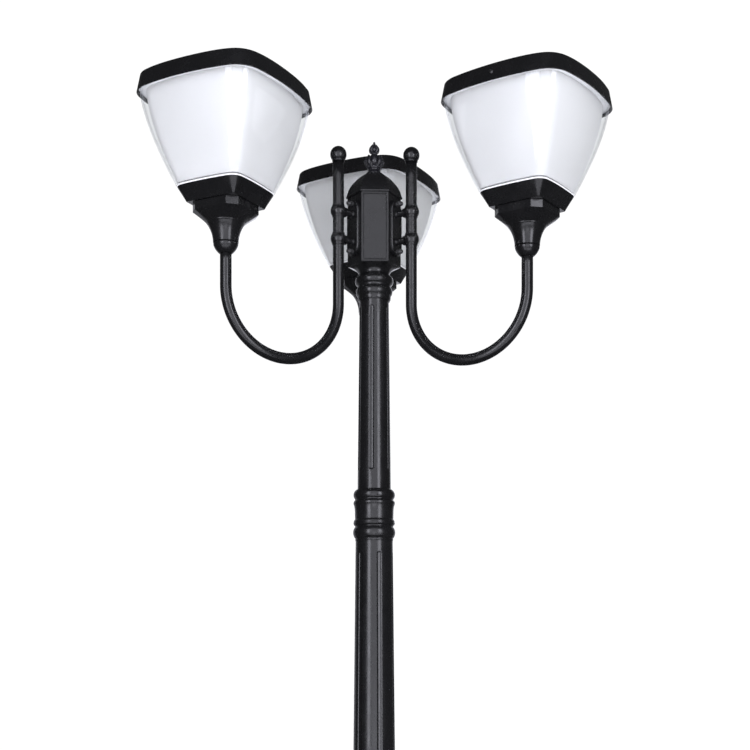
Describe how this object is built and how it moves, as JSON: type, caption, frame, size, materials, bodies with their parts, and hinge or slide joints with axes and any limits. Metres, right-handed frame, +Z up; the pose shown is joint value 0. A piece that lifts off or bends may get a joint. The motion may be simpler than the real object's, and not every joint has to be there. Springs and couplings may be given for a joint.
{
  "type": "solar street lamp",
  "caption": "Free-standing black garden street lamp: fluted post, hexagonal hub, U-shaped arms and square bowl heads with clear shells over white diffusers, each under a solar cap.",
  "frame": {"origin": "centre of the base's underside, on the ground", "axes": "+Z up along the post; the rear arm points along +Y and the front arms lie 60 degrees either side of -Y"},
  "size_m": [0.8948, 0.8193, 2.203],
  "materials": {
    "black_powder_coat": "satin",
    "black_cast_iron": "satin",
    "black_steel_tube": "satin",
    "dark_steel": "satin",
    "black_fastener": "gloss",
    "white_silicone": "matte",
    "clear_acrylic": "gloss",
    "opal_plastic": "satin",
    "white_plastic": "matte",
    "circuit_board": "satin",
    "battery_wrap": "satin",
    "solar_glass": "gloss",
    "black_rubber": "matte"
  },
  "bodies": {
    "post_and_arms": {"base_casting": "black_cast_iron", "lower_post": "black_powder_coat", "joint_collar": "black_powder_coat", "upper_post": "black_powder_coat", "hub_neck": "black_powder_coat", "hub_body": "black_powder_coat", "hub_roof": "black_powder_coat", "finial": "black_powder_coat", "post_set_screws": "dark_steel", "arm_bolts": "black_fastener", "swivel_bolts": "dark_steel", "arm_end_balls": "black_powder_coat", "arm_tube_left": "black_steel_tube", "arm_bracket_left": "black_powder_coat", "arm_cup_left": "black_powder_coat", "arm_tube_right": "black_steel_tube", "arm_bracket_right": "black_powder_coat", "arm_cup_right": "black_powder_coat", "arm_tube_rear": "black_steel_tube", "arm_bracket_rear": "black_powder_coat", "arm_cup_rear": "black_powder_coat"},
    "head_left": {"lamp_holder_left": "black_powder_coat", "tray_left": "black_powder_coat", "tray_gasket_left": "white_silicone", "clear_shell_left": "clear_acrylic", "opal_diffuser_left": "opal_plastic", "reflector_plate_left": "white_plastic", "led_board_left": "circuit_board", "battery_pack_left": "battery_wrap", "cap_frame_left": "black_powder_coat", "solar_panel_left": "solar_glass", "tray_screws_left": "dark_steel", "cap_screw_left": "black_fastener"},
    "button_left": {"power_button_left": "black_rubber"},
    "head_right": {"lamp_holder_right": "black_powder_coat", "tray_right": "black_powder_coat", "tray_gasket_right": "white_silicone", "clear_shell_right": "clear_acrylic", "opal_diffuser_right": "opal_plastic", "reflector_plate_right": "white_plastic", "led_board_right": "circuit_board", "battery_pack_right": "battery_wrap", "cap_frame_right": "black_powder_coat", "solar_panel_right": "solar_glass", "tray_screws_right": "dark_steel", "cap_screw_right": "black_fastener"},
    "button_right": {"power_button_right": "black_rubber"},
    "head_rear": {"lamp_holder_rear": "black_powder_coat", "tray_rear": "black_powder_coat", "tray_gasket_rear": "white_silicone", "clear_shell_rear": "clear_acrylic", "opal_diffuser_rear": "opal_plastic", "reflector_plate_rear": "white_plastic", "led_board_rear": "circuit_board", "battery_pack_rear": "battery_wrap", "cap_frame_rear": "black_powder_coat", "solar_panel_rear": "solar_glass", "tray_screws_rear": "dark_steel", "cap_screw_rear": "black_fastener"},
    "button_rear": {"power_button_rear": "black_rubber"}
  },
  "joints": [
    {"name": "head_swivel_left", "type": "hinge", "parent": "post_and_arms", "child": "head_left", "pos_m": [-0.28406, -0.164, 1.9055], "axis": [0, 0, 1], "range_deg": [-175, 175]},
    {"name": "power_button_press_left", "type": "slide", "parent": "head_left", "child": "button_left", "axis": [-0.4909, -0.8712, 0], "range_m": [0, 0.002], "stiffness_N_per_m": 600, "springref_m": -0.0015},
    {"name": "head_swivel_right", "type": "hinge", "parent": "post_and_arms", "child": "head_right", "pos_m": [0.28406, -0.164, 1.9055], "axis": [0, 0, 1], "range_deg": [-175, 175]},
    {"name": "power_button_press_right", "type": "slide", "parent": "head_right", "child": "button_right", "axis": [0.8028, -0.5962, 0], "range_m": [0, 0.002], "stiffness_N_per_m": 600, "springref_m": -0.0015},
    {"name": "head_swivel_rear", "type": "hinge", "parent": "post_and_arms", "child": "head_rear", "pos_m": [0, 0.328, 1.9055], "axis": [0, 0, 1], "range_deg": [-175, 175]},
    {"name": "power_button_press_rear", "type": "slide", "parent": "head_rear", "child": "button_rear", "axis": [-0.5105, -0.8599, 0], "range_m": [0, 0.002], "stiffness_N_per_m": 600, "springref_m": -0.0015}
  ]
}
